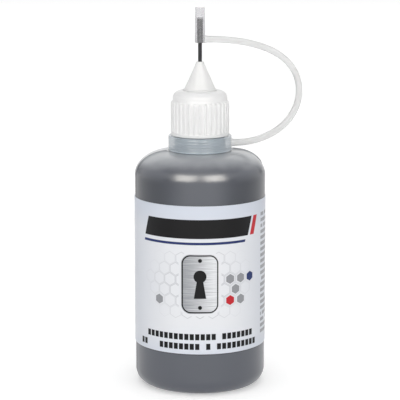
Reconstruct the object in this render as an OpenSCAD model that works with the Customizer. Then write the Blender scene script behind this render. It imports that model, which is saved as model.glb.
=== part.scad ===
// Needle-tip squeeze bottle of graphite powder for locks.
// Millimetres. The base stands on z = 0, the axis is Z, and the strap's loop lies on the +X side.

/* [Bottle] */
// Diameter of the body
body_d = 36; // [31:0.5:44]
// Height from the base to the top of the shoulder
body_h = 65.5; // [54:0.5:90]
// Wall of the bottle
wall = 1; // [0.6:0.1:1.5]
// Height of the rounded shoulder
shoulder_h = 6.6; // [4.5:0.1:9]
// Radius of the rounded edge of the base
base_round = 4.4; // [2.5:0.1:5.5]
// Width of the ring that the bottle stands on
standing_w = 2.4; // [1.5:0.1:3.5]
// Depth of the recess under the base
recess_depth = 0.8; // [0.4:0.1:1.2]

/* [Neck and thread] */
// Diameter of the neck between the thread's turns
neck_d = 12.2; // [11.4:0.1:14]
// Bore of the neck
neck_bore = 9.6; // [8.6:0.1:10.2]
// Height of the neck above the shoulder
neck_h = 13.9; // [13:0.1:18]
// Rise of the thread in one turn
thread_pitch = 3; // [2.6:0.1:3.4]
// Turns of the thread on the neck
thread_turns = 1.5; // [1:0.25:2]
// Turns of the thread inside the cap
cap_thread_turns = 1.25; // [0.75:0.25:1.5]
// Height of the thread's ridge above the neck
thread_depth = 0.7; // [0.5:0.05:0.9]
// Width of the thread's ridge at its root
thread_root_w = 1.3; // [1:0.05:1.5]
// Width of the thread's ridge at its crest
thread_crest_w = 0.6; // [0.4:0.05:0.8]
// Plain length of neck between the tether ring and the middle of the thread's start
thread_lead = 1.6; // [1:0.1:2]

/* [Label] */
// Distance from the end of the base's rounding up to the label
label_low = 7.7; // [4:0.1:12]
// Distance from the label up to the start of the shoulder
label_high = 5.9; // [3:0.1:12]
// Thickness of the label
label_t = 0.12; // [0.08:0.01:0.25]
// Angle that the label wraps round the bottle
label_wrap = 352; // [300:1:358]

/* [Powder] */
// Height left empty between the powder and the top of the shoulder's inside
headspace = 6; // [5.5:0.1:30]
// Height of the powder's heap in the middle
powder_heap = 0.6; // [0.2:0.1:0.8]

/* [Screw cap] */
// Wall of the cap between its ribs
cap_wall = 0.75; // [0.7:0.05:1.4]
// Thickness of the cap's roof
cap_roof = 1.5; // [1.2:0.1:2.4]
// Height of the smooth top above the ribs
cap_top_h = 3.4; // [3.4:0.1:4.5]
// Step in from the cap's ribbed wall to its smooth top
cap_top_step = 0.3; // [0.1:0.02:0.4]
// Radius of the rounded edge of the roof
cap_round = 2.1; // [0.8:0.05:2.15]
// Count of the grip ribs
rib_count = 34; // [24:1:44]
// Height of a rib above the cap's wall
rib_h = 0.26; // [0.2:0.02:0.4]
// Radius of a rib's rounded section
rib_r = 0.4; // [0.36:0.02:0.5]
// Height of the sloping upper end of a rib
rib_slope_h = 1.1; // [0.8:0.1:1.2]
// Height of the smooth band under the ribs
cap_band_h = 0.9; // [0.6:0.1:1.6]
// How far the smooth band stands out from the cap's wall
cap_band_out = 0.22; // [0.1:0.01:0.3]

/* [Nozzle] */
// Length of the plug inside the neck
plug_len = 4; // [2.5:0.1:5.5]
// Wall of the plug
plug_wall = 1; // [0.6:0.05:1.4]
// Thickness of the flange that the cap holds down
flange_t = 1.2; // [0.8:0.1:2]
// How far the flange stands back from the outside of the neck
flange_inset = 0.2; // [0.1:0.05:0.35]
// Diameter of the round foot that stands through the cap's roof
foot_d = 9.1; // [9:0.1:9.8]
// Height of the foot above the cap's roof
foot_rise = 0.4; // [0.3:0.05:1.2]
// Radius of the rounded edge of the foot
foot_round = 0.15; // [0.1:0.01:0.17]
// Diameter of the cone where it stands on the foot
cone_d = 8.6; // [6.5:0.1:8.6]
// Height of the cone
cone_h = 7.5; // [5.5:0.1:12]
// Diameter of the cone's tip
tip_d = 1.9; // [1.6:0.05:2.6]

/* [Needle] */
// Outer diameter of the steel tube
needle_d = 1.07; // [0.7:0.01:1.3]
// Wall of the steel tube
needle_wall = 0.19; // [0.1:0.01:0.25]
// Length of the tube that stands out of the cone
needle_out = 11.8; // [9:0.1:20]
// Length of the tube held in the cone
needle_grip = 4.4; // [3:0.1:5]

/* [Needle cover] */
// Diameter of the cover at its open end
cover_d = 2.85; // [2.4:0.05:4]
// How much narrower the cover is at its closed end
cover_taper = 0.14; // [0.02:0.02:0.4]
// Length of the cover
cover_h = 9.7; // [7:0.05:13]
// Thickness of the cover's closed end
cover_end = 2.75; // [1:0.05:4]
// Radius of the rounded edge of the closed end
cover_round = 0.3; // [0.1:0.05:0.8]

/* [Tether] */
// Height of the ring round the neck
ring_h = 4.15; // [3.4:0.05:5.5]
// Wall of the ring
ring_wall = 1.7; // [1:0.05:2.5]
// Bevel on the ring's outer edges
ring_bevel = 0.25; // [0.1:0.05:0.45]
// Thickness of the strap in the plane of its loop
strap_t = 1.75; // [1.2:0.05:2.4]
// Width of the strap across its loop
strap_w = 2.2; // [1.4:0.05:2.8]
// Bevel on the strap's long edges
strap_bevel = 0.45; // [0.2:0.05:0.55]
// Length of the strap's root on the ring and on the cover
root_len = 0.8; // [0.4:0.1:1.5]
// Distance from the open end of the cover up to the strap
strap_inset = 0.08; // [0.05:0.01:0.8]
// Distance from the axis to the middle of the strap where it reaches out furthest
strap_reach = 27.2; // [23:0.1:34]
// Length of the flat run as the strap leaves the cover
strap_top_run = 18.2; // [9:0.1:20]
// Length of the steep run above the furthest point
strap_top_drop = 7.7; // [6:0.1:13]
// Length of the steep run below the furthest point
strap_low_drop = 7.9; // [3:0.1:9]
// Length of the flat run as the strap meets the ring
strap_low_run = 9.9; // [7:0.1:15]

/* [Clearances] */
// Gap between the ring and the thread, and between the ring and its collar
ring_gap = 0.25; // [0.15:0.01:0.4]
// Gap above and below the ring
ring_play = 0.1; // [0.05:0.01:0.3]
// Gap between the thread's crest and the cap's bore
thread_gap = 0.25; // [0.15:0.01:0.4]
// Gap between the neck and the cap's bore above the thread
mouth_gap = 0.35; // [0.2:0.05:0.6]
// Gap between the cap's thread and the neck
cap_thread_gap = 0.35; // [0.25:0.01:0.45]
// Gap between the cap's roof and the nozzle's flange
flange_gap = 0.05; // [0.02:0.01:0.15]
// Gap between the nozzle's foot and the hole in the cap's roof
foot_gap = 0.12; // [0.1:0.01:0.3]
// Gap between the plug and the neck's bore
plug_gap = 0.2; // [0.1:0.01:0.3]
// Gap between the needle and its hole in the cone
needle_gap = 0.02; // [0.01:0.005:0.05]
// Gap between the needle and the cover's bore
cover_gap = 0.12; // [0.08:0.01:0.25]
// Gap between the needle's tip and the bottom of the cover's bore
tip_gap = 0.35; // [0.15:0.05:1]
// Gap between the label and the bottle
label_gap = 0.03; // [0.02:0.01:0.1]
// Gap between the powder and the inside of the bottle
powder_gap = 0.1; // [0.05:0.01:0.3]
// Gap where the strap meets its roots
root_gap = 0.05; // [0.02:0.01:0.15]

/* [Hidden] */
$fn = 96;

// Segments of the rounded edges, and rings along each half of the strap and along each turn of thread
ROUND_STEPS = 10;
STRAP_STEPS = 16;
THREAD_STEPS = 24;
// Share of a thread's turn over which its ridge rises at either end, and the height that it rises from
THREAD_RUNOUT = 0.12;
THREAD_LEAST = 0.1;
// How far a ridge or a root is sunk into the wall that carries it
SINK = 0.3;
// How far a cut runs past the faces that it opens
CUT = 1;
// Direction about the axis that the middle of the label and one rib of the cap face
FRONT = -90;

body_r = body_d / 2;
neck_r = neck_d / 2;
bore_r = neck_bore / 2;
thread_r = neck_r + thread_depth;

// Tether ring, its collar on the neck, and the flat land of the shoulder below it
ring_bore_r = thread_r + ring_gap;
ring_r = ring_bore_r + ring_wall;
ring_z = body_h + ring_play;
ring_mid_z = ring_z + ring_h / 2;
collar_r = thread_r;
collar_z = ring_z + ring_h;
land_r = ring_r + ring_bevel;
shoulder_z = body_h - shoulder_h;
recess_r = body_r - base_round - standing_w;
mouth_z = body_h + neck_h;

// Screw cap
cap_z = ring_z + ring_h + ring_play;
cap_bore_r = thread_r + thread_gap;
cap_r = cap_bore_r + cap_wall;
cap_top_r = cap_r - cap_top_step;
cap_seat_z = mouth_z + flange_t + flange_gap;
cap_top_z = cap_seat_z + cap_roof;
rib_top_z = cap_top_z - cap_top_h;
cap_hole_r = foot_d / 2 + foot_gap;
thread_z = cap_z + thread_lead;
cap_thread_r = neck_r + cap_thread_gap;
// Narrower bore above the thread, which leaves the wall thick under the rounded roof
cap_land_r = neck_r + mouth_gap;
cap_land_z = thread_z + thread_pitch * max(thread_turns, cap_thread_turns + 0.5) + thread_root_w / 2;

// Nozzle and needle
plug_r = bore_r - plug_gap;
plug_bore_r = plug_r - plug_wall;
flange_r = neck_r - flange_inset;
foot_top_z = cap_top_z + foot_rise;
tip_z = foot_top_z + cone_h;
needle_r = needle_d / 2;
needle_hole_r = needle_r + needle_gap;
needle_z = tip_z - needle_grip;
needle_top_z = tip_z + needle_out;

// Needle cover
cover_r = cover_d / 2;
cover_tip_r = cover_r - cover_taper / 2;
cover_bore_r = needle_r + cover_gap;
cover_root_r = cover_bore_r + cover_gap;
cover_bore_top_z = needle_top_z + tip_gap;
cover_top_z = cover_bore_top_z + cover_end;
cover_z = cover_top_z - cover_h;

// Strap: where it starts on the cover, ends on the ring, and turns between them
strap_top_z = cover_z + strap_inset + strap_t / 2;
strap_start = [cover_r + root_len + root_gap, strap_top_z];
strap_end = [ring_r + root_len + root_gap, ring_mid_z];
strap_turn = [strap_reach, (strap_top_z + ring_mid_z) / 2];

// Points of an elliptic arc from angle a to angle b
function arc(centre, rx, ry, a, b) = [
    for (i = [0 : ROUND_STEPS])
        let (t = a + (b - a) * i / ROUND_STEPS)
            centre + [rx * cos(t), ry * sin(t)]
];

// Point on a cubic curve with the given four control points
function cubic(p, t) =
    pow(1 - t, 3) * p[0] + 3 * pow(1 - t, 2) * t * p[1] + 3 * (1 - t) * t * t * p[2] + t * t * t * p[3];

// Direction of that curve, as a unit vector
function cubic_heading(p, t) =
    let (d = pow(1 - t, 2) * (p[1] - p[0]) + 2 * (1 - t) * t * (p[2] - p[1]) + t * t * (p[3] - p[2]))
        d / norm(d);

// Rounded shape of the bottle's body, inset from its outer surface
function body_profile(inset) = concat(
    [[0, recess_depth + inset], [recess_r - recess_depth, recess_depth + inset], [recess_r, inset]],
    arc([body_r - base_round, base_round], base_round - inset, base_round - inset, -90, 0),
    arc([land_r, shoulder_z], body_r - land_r - inset, shoulder_h - inset, 0, 90),
    [[0, body_h - inset]]
);

// Triangles of a closed sweep whose rings of points have the given count each
function sweep_faces(rings, count) = concat(
    [for (i = [1 : count - 2]) [0, i + 1, i]],
    [for (i = [1 : count - 2]) let (k = (rings - 1) * count) [k, k + i, k + i + 1]],
    [
        for (k = [0 : rings - 2], i = [0 : count - 1], half = [0, 1])
            let (a = k * count + i, b = k * count + (i + 1) % count)
                half == 0 ? [a, b, a + count] : [b, b + count, a + count]
    ]
);

// Helical ridge from a root radius to a crest radius, centred on height z at its start
module thread_ridge(root_r, crest_r, z, turns) {
    steps = round(THREAD_STEPS * turns);
    points = [
        for (i = [0 : steps])
            let (
                share = i / steps,
                angle = 360 * turns * share,
                rise = min(1, share * turns / THREAD_RUNOUT, (1 - share) * turns / THREAD_RUNOUT),
                crest = root_r + (crest_r - root_r) * max(THREAD_LEAST, rise),
                mid = z + thread_pitch * turns * share
            )
                for (p = [
                    [root_r, mid - thread_root_w / 2],
                    [crest, mid - thread_crest_w / 2],
                    [crest, mid + thread_crest_w / 2],
                    [root_r, mid + thread_root_w / 2]
                ])
                    [p[0] * cos(angle), p[0] * sin(angle), p[1]]
    ];
    faces = sweep_faces(steps + 1, 4);
    polyhedron(points, crest_r > root_r ? faces : [for (f = faces) [f[0], f[2], f[1]]]);
}

// Corners of the strap's section: thickness along the first axis, width along the second
function strap_section() =
    let (t = strap_t / 2, w = strap_w / 2, b = strap_bevel)
        [[t, b - w], [t, w - b], [t - b, w], [b - t, w], [-t, w - b], [-t, b - w], [b - t, -w], [t - b, -w]];

// Straight root of the strap, running out along +X from x at height z
module strap_root(x, z, length) {
    translate([x, 0, z])
        rotate([0, 90, 0])
            linear_extrude(length)
                polygon(strap_section());
}

module bottle() {
    color([0.42, 0.43, 0.44]) {
        difference() {
            union() {
                rotate_extrude()
                    polygon(body_profile(0));
                translate([0, 0, body_h - wall])
                    cylinder(r = collar_r, h = collar_z - body_h + wall);
                translate([0, 0, body_h - wall])
                    cylinder(r = neck_r, h = neck_h + wall);
                thread_ridge(neck_r - SINK, thread_r, thread_z, thread_turns);
            }
            rotate_extrude()
                polygon(body_profile(wall));
            translate([0, 0, shoulder_z])
                cylinder(r = bore_r, h = mouth_z - shoulder_z + CUT);
        }
    }
}

module label() {
    color([0.9, 0.91, 0.93])
        rotate([0, 0, FRONT - label_wrap / 2])
            rotate_extrude(angle = label_wrap)
                translate([body_r + label_gap, base_round + label_low])
                    square([label_t, shoulder_z - label_high - base_round - label_low]);
}

module graphite_powder() {
    level = body_h - wall - headspace;
    color([0.2, 0.2, 0.21])
        intersection() {
            rotate_extrude()
                polygon(body_profile(wall + powder_gap));
            rotate_extrude()
                polygon([[0, 0], [body_r, 0], [body_r, level], [0, level + powder_heap]]);
        }
}

module nozzle() {
    color([0.95, 0.95, 0.94])
        rotate_extrude()
            polygon(concat(
                [[plug_bore_r, mouth_z - plug_len], [plug_r, mouth_z - plug_len], [plug_r, mouth_z]],
                [[flange_r, mouth_z], [flange_r, mouth_z + flange_t], [foot_d / 2, mouth_z + flange_t]],
                arc([foot_d / 2 - foot_round, foot_top_z - foot_round], foot_round, foot_round, 0, 90),
                [[cone_d / 2, foot_top_z], [tip_d / 2, tip_z]],
                [[needle_hole_r, tip_z], [needle_hole_r, needle_z], [plug_bore_r, mouth_z]]
            ));
}

module needle() {
    color([0.5, 0.5, 0.51])
        translate([0, 0, needle_z])
            difference() {
                cylinder(r = needle_r, h = needle_grip + needle_out);
                translate([0, 0, -CUT])
                    cylinder(r = needle_r - needle_wall, h = needle_grip + needle_out + 2 * CUT);
            }
}

// Grip ribs round the cap, sloping in at their upper ends
module cap_ribs() {
    slope_top_z = rib_top_z + rib_slope_h;
    intersection() {
        union() {
            for (i = [0 : rib_count - 1])
                rotate([0, 0, FRONT + 360 * i / rib_count])
                    translate([cap_r + rib_h - rib_r, 0, cap_z + cap_band_h - SINK])
                        cylinder(r = rib_r, h = slope_top_z - cap_z - cap_band_h + SINK, $fn = 24);
        }
        rotate_extrude()
            polygon([
                [0, cap_z],
                [cap_r + rib_h + rib_slope_h, cap_z],
                [cap_r + rib_h + rib_slope_h, rib_top_z - rib_slope_h],
                [cap_top_r - SINK, slope_top_z],
                [0, slope_top_z]
            ]);
    }
}

module screw_cap() {
    band_r = cap_r + cap_band_out;
    color([0.96, 0.96, 0.96]) {
        difference() {
            union() {
                rotate_extrude()
                    polygon(concat(
                        [[0, cap_z], [band_r, cap_z], [band_r, cap_z + cap_band_h]],
                        [[cap_r, cap_z + cap_band_h], [cap_r, rib_top_z]],
                        [[cap_top_r, rib_top_z + rib_slope_h]],
                        arc([cap_top_r - cap_round, cap_top_z - cap_round], cap_round, cap_round, 0, 90),
                        [[0, cap_top_z]]
                    ));
                cap_ribs();
            }
            rotate_extrude()
                polygon([
                    [0, cap_z - CUT],
                    [cap_bore_r, cap_z - CUT],
                    [cap_bore_r, cap_land_z],
                    [cap_land_r, cap_land_z + cap_bore_r - cap_land_r],
                    [cap_land_r, cap_seat_z],
                    [cap_hole_r, cap_seat_z],
                    [cap_hole_r, cap_top_z + CUT],
                    [0, cap_top_z + CUT]
                ]);
        }
        thread_ridge(cap_bore_r + SINK, cap_thread_r, thread_z + thread_pitch / 2, cap_thread_turns);
    }
}

module tether_ring() {
    color([0.7, 0.73, 0.76]) {
        rotate_extrude()
            polygon([
                [ring_bore_r, ring_z],
                [ring_r - ring_bevel, ring_z],
                [ring_r, ring_z + ring_bevel],
                [ring_r, ring_z + ring_h - ring_bevel],
                [ring_r - ring_bevel, ring_z + ring_h],
                [ring_bore_r, ring_z + ring_h]
            ]);
        strap_root(ring_r - SINK, ring_mid_z, root_len + SINK);
    }
}

module tether_strap() {
    upper = [
        strap_start, strap_start + [strap_top_run, 0],
        strap_turn + [0, strap_top_drop], strap_turn
    ];
    lower = [
        strap_turn, strap_turn - [0, strap_low_drop],
        strap_end + [strap_low_run, 0], strap_end
    ];
    stations = concat(
        [for (i = [0 : STRAP_STEPS]) [cubic(upper, i / STRAP_STEPS), cubic_heading(upper, i / STRAP_STEPS)]],
        [for (i = [1 : STRAP_STEPS]) [cubic(lower, i / STRAP_STEPS), cubic_heading(lower, i / STRAP_STEPS)]]
    );
    section = strap_section();
    points = [
        for (s = stations, p = section)
            [s[0][0] - s[1][1] * p[0], p[1], s[0][1] + s[1][0] * p[0]]
    ];
    color([0.88, 0.88, 0.88])
        polyhedron(points, sweep_faces(len(stations), len(section)));
}

module needle_cover() {
    color([0.86, 0.86, 0.88]) {
        rotate_extrude()
            polygon(concat(
                [[cover_bore_r, cover_z], [cover_r, cover_z]],
                arc([cover_tip_r - cover_round, cover_top_z - cover_round], cover_round, cover_round, 0, 90),
                [[0, cover_top_z], [0, cover_bore_top_z], [cover_bore_r, cover_bore_top_z]]
            ));
        strap_root(cover_root_r, strap_top_z, cover_r - cover_root_r + root_len);
    }
}

bottle();
label();
graphite_powder();
nozzle();
needle();
screw_cap();
tether_ring();
tether_strap();
needle_cover();
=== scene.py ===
import math
from collections import namedtuple

import bpy
from bpy.props import FloatProperty, FloatVectorProperty, IntProperty, PointerProperty
from bpy.types import Operator, Panel, PropertyGroup
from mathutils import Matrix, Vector


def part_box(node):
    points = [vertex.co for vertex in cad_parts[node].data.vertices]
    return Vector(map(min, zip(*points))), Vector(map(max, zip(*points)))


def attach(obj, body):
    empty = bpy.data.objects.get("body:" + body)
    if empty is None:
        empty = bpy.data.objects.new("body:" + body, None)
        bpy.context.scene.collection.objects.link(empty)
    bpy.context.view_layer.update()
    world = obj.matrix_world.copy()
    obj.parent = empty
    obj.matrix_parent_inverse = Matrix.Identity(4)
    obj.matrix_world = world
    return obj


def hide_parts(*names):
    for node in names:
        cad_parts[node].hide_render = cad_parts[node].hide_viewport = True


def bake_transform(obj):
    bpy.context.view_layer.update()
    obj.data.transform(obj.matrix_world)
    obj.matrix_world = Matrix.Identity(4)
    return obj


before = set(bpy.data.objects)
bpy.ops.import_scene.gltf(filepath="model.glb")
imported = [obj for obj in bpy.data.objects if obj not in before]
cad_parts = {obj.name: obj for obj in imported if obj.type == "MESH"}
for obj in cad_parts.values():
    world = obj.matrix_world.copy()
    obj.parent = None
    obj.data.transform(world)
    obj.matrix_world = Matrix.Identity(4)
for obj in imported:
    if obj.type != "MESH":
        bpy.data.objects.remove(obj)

bl_info = {
    "name": "Needle-Tip Powder Bottle",
    "version": (1, 0, 0),
    "blender": (4, 5, 0),
    "location": "3D View > Sidebar > Powder Bottle",
    "description": "Dresses the solids of a needle-tip squeeze bottle of graphite powder",
    "category": "Object",
}

MM = 0.001
# Radius below which a point of an outline counts as on the axis
ON_AXIS = 1e-7
# Direction about the axis that the label's middle and one rib of the cap face
FRONT = -math.pi / 2
# Edges sharper than this stay crisp
CRISP_EDGE = math.radians(32)
# Width of the camera's sensor, in millimetres
SENSOR_WIDTH = 36.0

# A size of print on the label: pitch and height of the rows and pitch of the blocks in them, in
# millimetres, the share of the blocks that are there, and how ragged the rows' right ends are
PrintSize = namedtuple("PrintSize", "pitch height cell fill ragged")
LARGE_PRINT = PrintSize(2.4, 1.7, 1.5, 0.86, 0.0)
SMALL_PRINT = PrintSize(1.65, 0.95, 0.8, 0.9, 0.3)
FINE_PRINT = PrintSize(1.4, 0.7, 0.62, 0.74, 0.3)

# The bare solids' box, and the measures of the solids that the pieces keep
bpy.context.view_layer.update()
BOTTLE_LOW, BOTTLE_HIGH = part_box("bottle")
LABEL_LOW, LABEL_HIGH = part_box("label")
POWDER_LOW, POWDER_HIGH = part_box("graphite_powder")
NOZZLE_LOW, NOZZLE_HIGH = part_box("nozzle")
NEEDLE_LOW, NEEDLE_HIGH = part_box("needle")
CAP_LOW, CAP_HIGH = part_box("screw_cap")
RING_LOW, RING_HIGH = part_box("tether_ring")
STRAP_LOW, STRAP_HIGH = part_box("tether_strap")
COVER_LOW, COVER_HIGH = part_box("needle_cover")


def setting(kind=FloatProperty, scale=1, **options):
    """A function that makes a property of that kind from its name, description and scaled default."""

    def make(name, description, default):
        return kind(name=name, description=description, default=default * scale, **options)

    return make


# Kinds of setting: lengths are given in millimetres, angles in degrees and powers in watts
length = setting(scale=MM, unit="LENGTH", precision=5)
angle = setting(scale=math.radians(1), subtype="ANGLE")
focus = setting(unit="CAMERA")
power = setting(min=0, unit="POWER")
share = setting(min=0, max=1, subtype="FACTOR")
number = setting(min=0)
whole_number = setting(IntProperty, min=3)
tone = setting(FloatVectorProperty, size=3, min=0, max=1, subtype="COLOR")


class StudioSettings(PropertyGroup):
    """Camera, floor and light."""

    distance: length("Camera distance", "From the bottle's axis to the camera, along the floor", 530)
    height: length("Camera height", "Height of the camera above the floor", 148.8)
    dip: angle("Camera dip", "How far the camera looks down", 10.405)
    lens: focus("Lens", "Focal length of the camera", 174.78)
    floor_size: length("Floor size", "Length of the floor's sides", 9000)
    floor_tone: tone("Floor", "Colour of the floor", (0.75, 0.75, 0.75))
    floor_glow: share("Floor glow", "Brightness of the light that comes through the floor", 0.4)
    horizon: number("Horizon", "Brightness of the light from the sides", 0.12)
    overhead: number("Overhead", "Brightness of the light from overhead", 2.1)
    fill_power: power("Fill power", "Power of the fill light", 6.4)
    fill_rise: angle("Fill rise", "Height of the fill light above the horizon", 15)
    fill_distance: length("Fill distance", "From the bottle's shoulder to the fill light", 1200)
    fill_size: length("Fill size", "Length of the fill light's sides", 800)
    gloss_power: power("Gloss power", "Power of each softbox", 10.0)
    gloss_turn: angle("Gloss turn", "How far each softbox stands to the side of the camera", 27)
    gloss_rise: angle("Gloss rise", "Height of each softbox above the horizon", 26)
    gloss_distance: length("Gloss distance", "From the bottle's shoulder to each softbox", 800)
    gloss_width: length("Gloss width", "Width of each softbox", 490)
    gloss_height: length("Gloss height", "Height of each softbox", 500)
    gloss_tone: tone("Gloss tone", "Colour of the softboxes' light", (1.0, 0.96, 0.88))
    card_power: power("Card power", "Power of each card behind the bottle", 6.6)
    card_turn: angle("Card turn", "Angle between two cards", 80)
    card_rise: angle("Card rise", "Height of each card above the horizon", 20)
    card_distance: length("Card distance", "From the bottle's shoulder to each card", 1200)
    card_width: length("Card width", "Width of each card", 1700)
    card_height: length("Card height", "Height of each card", 1000)


class BottleSettings(PropertyGroup):
    """Blow-moulded bottle."""

    wall: length("Wall", "Thickness of the bottle's wall", 1.0)
    shoulder: length("Shoulder", "Height of the rounded shoulder", 6.6)
    land: length("Land", "Radius of the flat land that the tether ring lies on", 9.0)
    base_round: length("Base rounding", "Radius of the rounded edge of the base", 4.4)
    standing: length("Standing ring", "Width of the ring that the bottle stands on", 2.4)
    recess: length("Base recess", "Depth of the recess under the base", 0.8)
    collar: length("Collar", "Radius of the collar under the tether ring", 6.8)
    neck: length("Neck", "Radius of the neck between the thread's turns", 6.1)
    bore: length("Bore", "Radius of the neck's bore", 4.8)
    ring_play: length("Ring play", "Gap under the tether ring", 0.1)
    seam_height: length("Seam height", "Height of the mould's parting line on the walls", 0.08)
    seam_crest: length("Seam crest", "Height of the mould's parting line on the shoulder", 0.35)
    seam_width: length("Seam width", "Half the width of the mould's parting line", 0.4)
    seam_turn: angle("Seam turn", "How far the parting line lies round from the strap's plane", 13)
    dusted: tone("Dusted plastic", "Colour of the plastic with powder behind it", (0.074, 0.081, 0.1005))
    # Painted shade: colour of the darker flanks of the band between the label and the shoulder
    flank_shade_tone: tone("Caked plastic", "Colour of the plastic where powder clings to it", (0.0235, 0.0285, 0.041))
    bare: tone("Bare plastic", "Colour of the plastic above the powder", (0.31, 0.325, 0.345))


class ThreadSettings(PropertyGroup):
    """Screw thread of the neck and the cap."""

    pitch: length("Pitch", "Rise of the thread in one turn", 3.0)
    root: length("Root width", "Width of the ridge at its root", 1.3)
    crest: length("Crest width", "Width of the ridge at its crest", 0.6)
    lead: length("Lead", "Plain neck between the cap's lower edge and the thread", 1.6)
    neck_turns: number("Neck turns", "Turns of the neck's thread", 1.5)
    cap_turns: number("Cap turns", "Turns of the cap's thread", 1.25)
    sink: length("Sink", "How far the ridge's root lies below the wall", 0.3)
    runout: share("Run-out", "Share of a turn over which the ridge rises at its ends", 0.12)


class LabelSettings(PropertyGroup):
    """Printed label."""

    thickness: length("Thickness", "Thickness of the film", 0.12)
    wrap: angle("Wrap", "Angle that the label wraps round the bottle", 352)
    corner: length("Corner", "Radius of the label's corners", 1.6)
    film: tone("Film", "Colour of the unprinted film", (0.735, 0.745, 0.77))
    # Painted shade towards the label's sides; the same darker, bluer tint also spreads towards its top and
    # bottom
    pale: tone("Pale ink", "Colour of the tint round the label's front", (0.605, 0.64, 0.715))
    black: tone("Black ink", "Colour of the darkest print", (0.006, 0.006, 0.007))
    red: tone("Red ink", "Colour of the red print", (0.5, 0.02, 0.03))
    navy: tone("Navy ink", "Colour of the blue print", (0.02, 0.035, 0.13))
    grey: tone("Grey ink", "Colour of the pale print", (0.5, 0.51, 0.54))
    dull_metal: tone("Dull metal", "Colour of the printed plate's darker lines", (0.3, 0.31, 0.33))
    bright_metal: tone("Bright metal", "Colour of the printed plate's paler lines", (0.78, 0.79, 0.81))


class PowderSettings(PropertyGroup):
    """Graphite powder."""

    heap: length("Heap", "How far the powder is heaped up in the middle", 0.6)
    ripple: length("Ripple", "Height of the uneven surface", 0.16)
    dark: tone("Dark grains", "Colour of the darker grains", (0.02, 0.02, 0.023))
    light: tone("Light grains", "Colour of the brighter grains", (0.075, 0.077, 0.084))


class CapSettings(PropertyGroup):
    """Ribbed screw cap."""

    bore: length("Bore", "Radius of the cap's bore", 7.05)
    wall: length("Wall", "Outer radius between the ribs", 7.8)
    band: length("Band", "Radius of the smooth band under the ribs", 8.02)
    band_height: length("Band height", "Height of the smooth band", 0.9)
    top: length("Top", "Radius of the smooth top", 7.5)
    top_height: length("Top height", "Height of the smooth top above the ribs", 3.4)
    slope: length("Slope", "Height over which the ribs fade", 1.1)
    edge: length("Edge", "Radius of the roof's rounded edge", 2.1)
    roof: length("Roof", "Thickness of the roof", 1.5)
    hole: length("Hole", "Radius of the hole in the roof", 4.61)
    land: length("Land", "Radius of the bore above the thread", 6.45)
    land_height: length("Land height", "Height of the bore above the thread", 2.7)
    ribs: whole_number("Ribs", "Count of the grip ribs", 34)
    rib_round: length("Rib rounding", "Radius of a rib's section", 0.4)
    tone: tone("Plastic", "Colour of the white plastic", (0.8, 0.8, 0.8))


class NozzleSettings(PropertyGroup):
    """Cone nozzle and needle."""

    plug: length("Plug", "Radius of the plug in the neck", 4.6)
    plug_bore: length("Plug bore", "Radius of the hole in the plug", 3.6)
    flange_height: length("Flange height", "Thickness of the flange", 1.2)
    foot: length("Foot", "Radius of the round foot", 4.55)
    foot_rise: length("Foot rise", "Height of the foot above the cap's roof", 0.4)
    cone: length("Cone", "Radius of the cone where it stands on the foot", 4.3)
    tip: length("Tip", "Radius of the cone's tip", 0.95)
    needle_wall: length("Needle wall", "Wall of the steel tube", 0.19)
    tone: tone("Plastic", "Colour of the white plastic", (0.8, 0.8, 0.795))
    steel: tone("Steel", "Colour of the steel tube", (0.03, 0.03, 0.033))


class TetherSettings(PropertyGroup):
    """Ring, strap and needle cover."""

    ring_bore: length("Ring bore", "Radius of the ring's hole", 7.05)
    ring_bevel: length("Ring bevel", "Rounding of the ring's outer edges", 0.25)
    groove_pitch: length("Groove pitch", "Distance between the ring's fine grooves", 0.75)
    groove_depth: length("Groove depth", "Depth of the ring's fine grooves", 0.06)
    strap_round: length("Strap rounding", "Rounding of the strap's long edges", 0.6)
    strap_thick: length("Strap thickness", "Thickness in the plane of the loop", 1.75)
    strap_flare: share("Strap flare", "How much wider the strap is at its ends", 0.2)
    top_run: length("Top run", "Length of the flat run as the strap leaves the cover", 18.2)
    top_drop: length("Top drop", "Length of the steep run above the furthest point", 7.7)
    low_drop: length("Low drop", "Length of the steep run below the furthest point", 7.9)
    low_run: length("Low run", "Length of the flat run as the strap meets the ring", 9.9)
    root: length("Root", "Length of the strap's roots on the ring and the cover", 0.85)
    cover_end: length("Cover end", "Thickness of the cover's closed end", 2.75)
    cover_edge: length("Cover edge", "Rounding of the cover's closed end", 0.3)
    cover_taper: length("Cover taper", "How much smaller the radius is at the closed end", 0.07)
    ring_tone: tone("Ring", "Colour of the ring's plastic", (0.485, 0.55, 0.605))
    strap_tone: tone("Strap", "Colour of the strap's plastic", (0.69, 0.69, 0.688))
    cover_tone: tone("Cover", "Colour of the cover's plastic", (0.6, 0.598, 0.617))


class PowderBottle(PropertyGroup):
    """All the settings of the dressed bottle."""

    studio: PointerProperty(type=StudioSettings)
    bottle: PointerProperty(type=BottleSettings)
    thread: PointerProperty(type=ThreadSettings)
    label: PointerProperty(type=LabelSettings)
    powder: PointerProperty(type=PowderSettings)
    cap: PointerProperty(type=CapSettings)
    nozzle: PointerProperty(type=NozzleSettings)
    tether: PointerProperty(type=TetherSettings)


def line(start, end, steps):
    """Evenly spaced points of a straight line, with both ends."""
    (x, y), (far_x, far_y) = start, end
    return [(x + (far_x - x) * k / steps, y + (far_y - y) * k / steps) for k in range(steps + 1)]


def arc(centre, radii, start, end, steps):
    """Points of an elliptic arc between two angles in degrees, with both ends."""
    points = []
    for k in range(steps + 1):
        turn = math.radians(start + (end - start) * k / steps)
        points.append((centre[0] + radii[0] * math.cos(turn), centre[1] + radii[1] * math.sin(turn)))
    return points


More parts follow.
